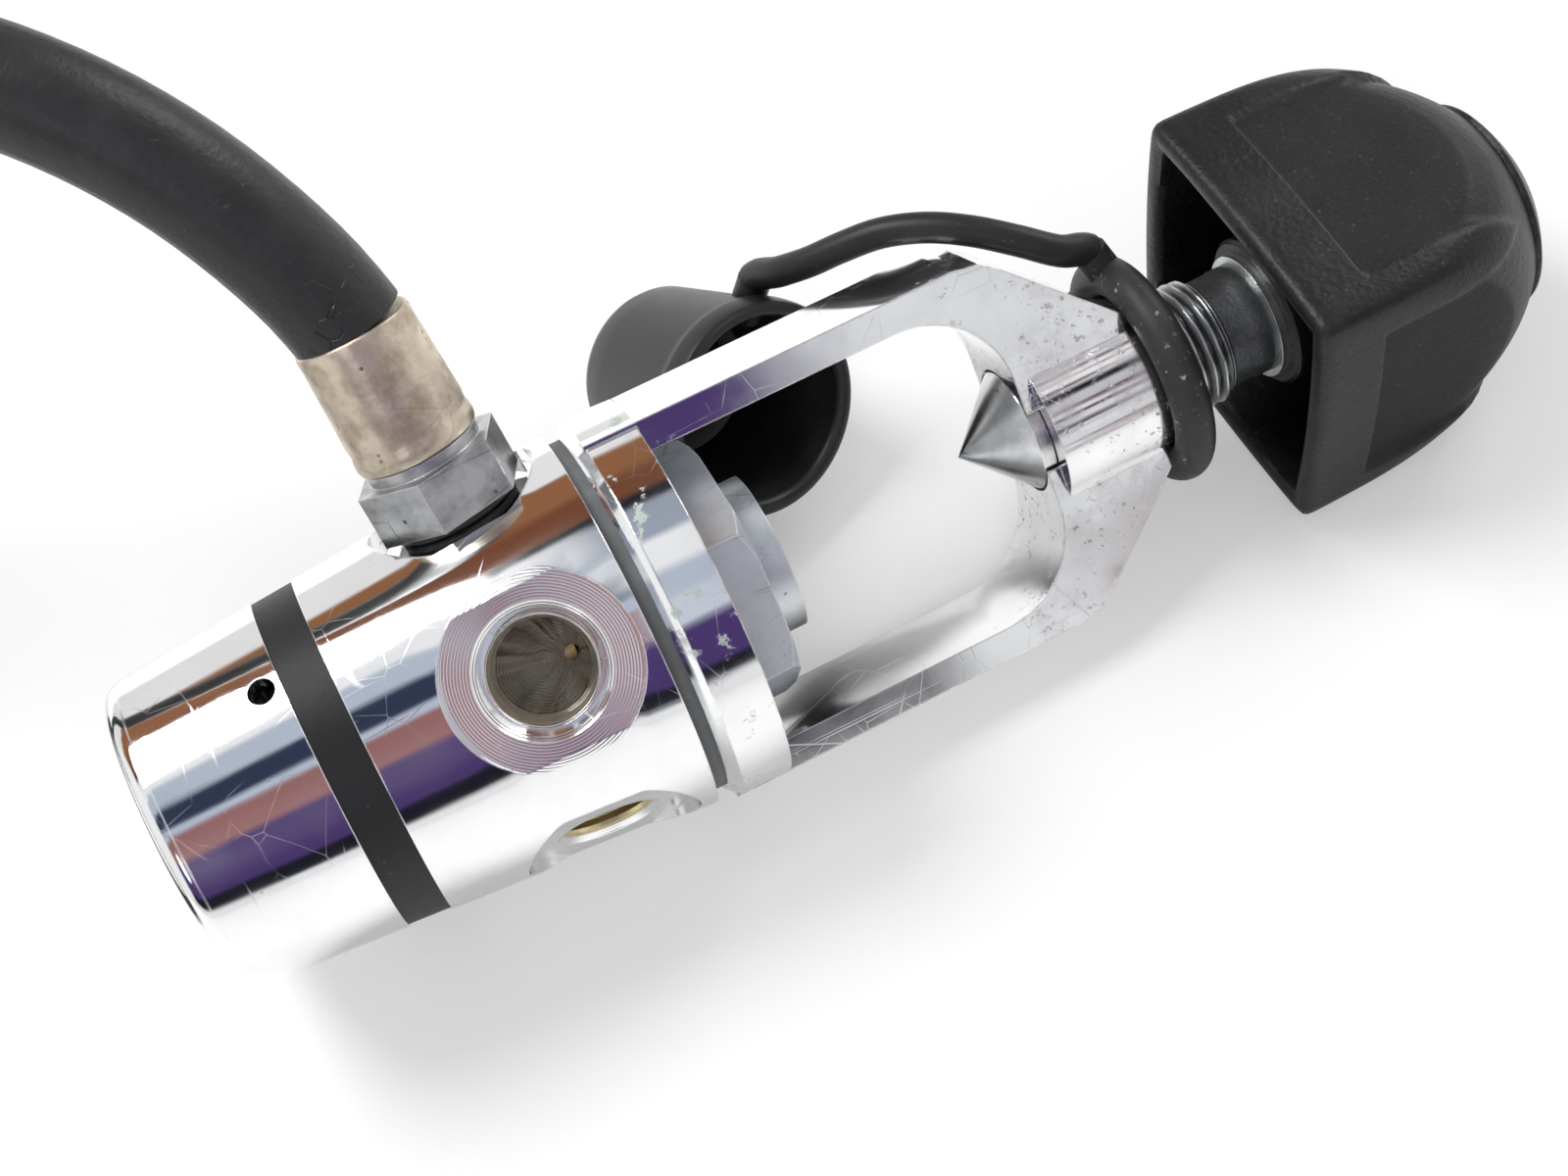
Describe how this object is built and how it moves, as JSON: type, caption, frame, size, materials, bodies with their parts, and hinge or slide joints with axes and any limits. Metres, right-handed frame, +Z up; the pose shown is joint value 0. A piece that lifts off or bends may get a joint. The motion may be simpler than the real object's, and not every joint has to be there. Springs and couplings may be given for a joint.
{
  "type": "scuba regulator set",
  "caption": "Diving regulator first stage with a vented conical barrel, a yoke clamp and hand knob, a tethered dust cap and one low-pressure hose.",
  "frame": {"origin": "on the floor under the middle of the resting regulator, measured without its hose", "axes": "+X along the regulator towards the hand knob, -Y the side that its front low-pressure port faces, +Z up"},
  "size_m": [0.3187, 0.1354, 0.0883],
  "materials": {
    "chromed_brass": "polished chrome plate with small pits and scratches",
    "worn_chrome": "chrome plate, pitted and dulled",
    "retainer_metal": "dull plated flats",
    "screw_steel": "grey machined steel",
    "tip_steel": "bright turned steel",
    "spring_steel": "drawn wire",
    "turned_brass": "machined brass",
    "ferrule_brass": "worn nickel over brass",
    "fitting_steel": "worn plated steel",
    "sintered_bronze": "sintered, matt",
    "black_rubber": "matt moulded rubber",
    "hose_rubber": "smooth rubber over a braid",
    "seal_rubber": "smooth",
    "grey_gasket": "dark grey, dull",
    "black_plastic": "grained moulding",
    "seat_plastic": "hard seat plastic"
  },
  "bodies": {
    "regulator": {"regulator_body": "chromed_brass", "end_cap": "chromed_brass", "vent_band": "black_rubber", "piston_stem_o_ring": "seal_rubber", "main_spring": "spring_steel", "valve_orifice": "turned_brass", "orifice_o_ring": "seal_rubber", "inlet_filter": "sintered_bronze", "filter_circlip": "spring_steel", "yoke_retainer": "retainer_metal", "retainer_o_ring": "seal_rubber", "yoke_washer": "grey_gasket", "yoke": "worn_chrome", "hose_fitting": "fitting_steel", "fitting_o_ring": "seal_rubber", "hose_ferrule": "ferrule_brass", "hose": "hose_rubber", "hose_coil": "hose_rubber", "end_ferrule": "ferrule_brass", "end_stem": "fitting_steel", "end_o_ring": "seal_rubber"},
    "piston": {"piston": "turned_brass", "piston_head_o_ring": "seal_rubber", "high_pressure_seat": "seat_plastic"},
    "screw_tip": {"screw_tip": "tip_steel"},
    "hand_screw": {"yoke_screw": "screw_steel", "hub_collar": "fitting_steel", "knob": "black_plastic", "knob_cross_pin": "spring_steel"},
    "cap_tether": {"strap_ring": "black_rubber", "cap_strap": "black_rubber"},
    "dust_cap": {"dust_cap": "black_rubber"},
    "end_nut": {"end_nut": "chromed_brass"}
  },
  "joints": [
    {"name": "piston_slide", "type": "slide", "parent": "regulator", "child": "piston", "axis": [0.9987, 0, -0.0517], "range_m": [0, 0.001], "stiffness_N_per_m": 900, "springref_m": -0.002, "deforming": ["main_spring"]},
    {"name": "screw_travel", "type": "slide", "parent": "regulator", "child": "screw_tip", "axis": [0.9987, 0, -0.0517], "range_m": [-0.00438, 0.00625]},
    {"name": "screw_turn", "type": "hinge", "parent": "screw_tip", "child": "hand_screw", "pos_m": [0.04302, -0.01026, 0.01789], "axis": [0.9987, 0, -0.0517], "range_deg": [-1263, 1803]},
    {"name": "tether_swivel", "type": "hinge", "parent": "regulator", "child": "cap_tether", "pos_m": [0.03239, -0.01026, 0.01844], "axis": [0.9987, 0, -0.0517], "range_deg": [-50, 0]},
    {"name": "cap_flex", "type": "hinge", "parent": "cap_tether", "child": "dust_cap", "pos_m": [0.03283, -0.00358, 0.02698], "axis": [0, 0.7071, -0.7071], "range_deg": [0, 35], "deforming": ["cap_strap"]},
    {"name": "nut_swivel", "type": "hinge", "parent": "regulator", "child": "end_nut", "pos_m": [-0.215, 0.0793, 0.00815], "axis": [-0.9613, -0.2756, 0], "continuous": true}
  ],
  "couplings": [
    {"joint": "screw_turn", "follows": "screw_travel", "rad_per_m": 5026.5}
  ]
}
